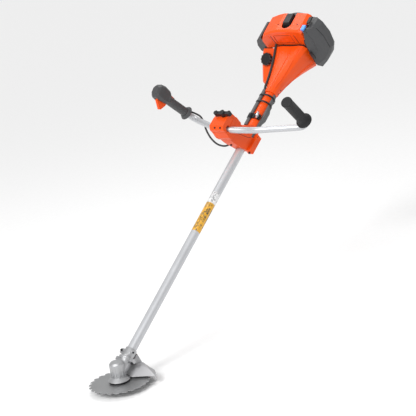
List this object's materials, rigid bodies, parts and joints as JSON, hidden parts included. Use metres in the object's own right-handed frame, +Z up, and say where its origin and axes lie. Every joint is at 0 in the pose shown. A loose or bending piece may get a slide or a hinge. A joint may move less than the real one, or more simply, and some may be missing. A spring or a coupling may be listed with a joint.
{
  "type": "brush cutter",
  "caption": "Shaft-drive brush cutter with a toothed saw blade, guard, bevel gear head, U handlebar with throttle handle, harness eye and a rear engine.",
  "frame": {"origin": "centre of the blade arbor's free end, the lowest point of the machine", "axes": "+Z up along the arbor, +X towards the engine, +Y towards the throttle handle's side; the shaft rises at 37 degrees in the XZ plane"},
  "size_m": [1.5083, 0.6832, 1.1426],
  "materials": {
    "orange_shell": "glossy moulded",
    "orange_metal": "satin powder coat",
    "orange_control": "fine matte",
    "red_switch": "glossy moulded",
    "blue_lever": "glossy moulded",
    "black_plastic": "fine matte",
    "dark_plastic": "satin moulded",
    "guard_metal": "satin grey coat",
    "cast_grey": "fine cast",
    "tube_silver": "satin drawn",
    "bar_alloy": "satin drawn",
    "blade_steel": "ground",
    "bright_steel": "turned",
    "dark_steel": "blackened",
    "fin_alloy": "cast",
    "silencer_steel": "heat tinted sheet",
    "grip_rubber": "ribbed matte",
    "pad_foam": "soft matte",
    "hose_grey": "smooth matte",
    "cable_black": "smooth satin",
    "filter_felt": "pleated felt",
    "bush_rubber": "moulded",
    "eye_alloy": "polished cast"
  },
  "bodies": {
    "machine": {"air_filter": "filter_felt", "ball_bearings": "bright_steel", "bar_clamp_base": "orange_metal", "bar_clamp_cap": "orange_metal", "blade_guard": "guard_metal", "bracket_lower": "orange_metal", "bracket_upper": "orange_metal", "cable_clips": "black_plastic", "cable_hose": "hose_grey", "carburettor": "fin_alloy", "clutch_cover": "orange_shell", "clutch_undercover": "orange_shell", "crankcase": "black_plastic", "cylinder": "fin_alloy", "engine_conduit": "cable_black", "fasteners": "dark_steel", "filter_base": "black_plastic", "filter_cover": "dark_plastic", "fuel_tank": "orange_shell", "gear_housing": "cast_grey", "handle_shell_inner": "dark_plastic", "handle_shell_outer": "dark_plastic", "handlebar": "bar_alloy", "harness_clamp": "black_plastic", "harness_eye": "eye_alloy", "hip_pad": "pad_foam", "housing_clamp": "cast_grey", "piston": "fin_alloy", "plug_cap": "black_plastic", "right_grip": "grip_rubber", "shaft_bushes": "bush_rubber", "shaft_sleeve": "orange_shell", "shaft_tube": "tube_silver", "silencer": "silencer_steel", "silencer_guard": "dark_plastic", "spark_plug": "bright_steel", "starter_housing": "dark_plastic", "throttle_cable": "cable_black", "top_cover": "orange_shell"},
    "cutter": {"arbor": "bright_steel", "ring_gear": "bright_steel", "drive_disc": "dark_steel", "saw_blade": "blade_steel", "support_flange": "bright_steel", "blade_nut": "dark_steel"},
    "drive_line": {"drive_shaft": "bright_steel", "pinion": "bright_steel", "clutch_drum": "dark_steel"},
    "crank": {"crankshaft": "bright_steel", "flywheel": "fin_alloy", "clutch_shoes": "dark_steel"},
    "throttle": {"throttle_trigger": "orange_control"},
    "throttle_safety": {"throttle_lock": "orange_control"},
    "stop_rocker": {"stop_switch": "red_switch"},
    "choke": {"choke_lever": "blue_lever"},
    "tank_cap": {"fuel_cap": "black_plastic"},
    "clamp_knob": {"wing_knob": "black_plastic"},
    "upper_catch": {"upper_latch": "black_plastic"},
    "lower_catch": {"lower_latch": "black_plastic"},
    "pull_grip": {"starter_grip": "black_plastic"}
  },
  "joints": [
    {"name": "blade_spin", "type": "hinge", "parent": "machine", "child": "cutter", "pos_m": [0, 0, 0.0542], "axis": [0, 0, 1], "continuous": true},
    {"name": "drive_spin", "type": "hinge", "parent": "machine", "child": "drive_line", "pos_m": [0, 0, 0.0542], "axis": [0.7986, 0, 0.6018], "continuous": true},
    {"name": "crank_spin", "type": "hinge", "parent": "machine", "child": "crank", "pos_m": [1.27782, 0, 1.0171], "axis": [0.7986, 0, 0.6018], "continuous": true},
    {"name": "trigger_pull", "type": "hinge", "parent": "machine", "child": "throttle", "pos_m": [0.73373, 0.31503, 0.90225], "axis": [-0.0832, -0.996, 0.0339], "range_deg": [0, 18], "stiffness_Nm_per_rad": 0.25, "springref_deg": -17.19},
    {"name": "lock_press", "type": "hinge", "parent": "machine", "child": "throttle_safety", "pos_m": [0.80847, 0.30815, 0.8835], "axis": [-0.0832, -0.996, 0.0339], "range_deg": [0, 4], "stiffness_Nm_per_rad": 0.15, "springref_deg": -17.19},
    {"name": "stop_rock", "type": "hinge", "parent": "machine", "child": "stop_rocker", "pos_m": [0.76657, 0.31353, 0.93859], "axis": [-0.0832, -0.996, 0.0339], "range_deg": [-5, 5]},
    {"name": "choke_turn", "type": "hinge", "parent": "machine", "child": "choke", "pos_m": [1.18969, -0.108, 1.0709], "axis": [0, 1, 0], "range_deg": [0, 35]},
    {"name": "cap_turn", "type": "hinge", "parent": "machine", "child": "tank_cap", "pos_m": [1.21195, 0.122, 0.95995], "axis": [-0.9501, 0, 0.312], "range_deg": [0, 180]},
    {"name": "knob_turn", "type": "hinge", "parent": "machine", "child": "clamp_knob", "pos_m": [0.74685, -0.012, 0.83274], "axis": [-0.6018, 0, 0.7986], "range_deg": [0, 180]},
    {"name": "upper_catch_swing", "type": "hinge", "parent": "machine", "child": "upper_catch", "pos_m": [1.22808, -0.117, 1.12299], "axis": [0, 1, 0], "range_deg": [0, 60]},
    {"name": "lower_catch_swing", "type": "hinge", "parent": "machine", "child": "lower_catch", "pos_m": [1.19749, -0.117, 0.98412], "axis": [0, 1, 0], "range_deg": [0, 60]},
    {"name": "starter_pull", "type": "slide", "parent": "machine", "child": "pull_grip", "axis": [0, -1, 0], "range_m": [0, 0.026], "stiffness_N_per_m": 40, "springref_m": -0.03}
  ],
  "couplings": [
    {"joint": "drive_spin", "follows": "blade_spin", "ratio": -1.3077}
  ]
}
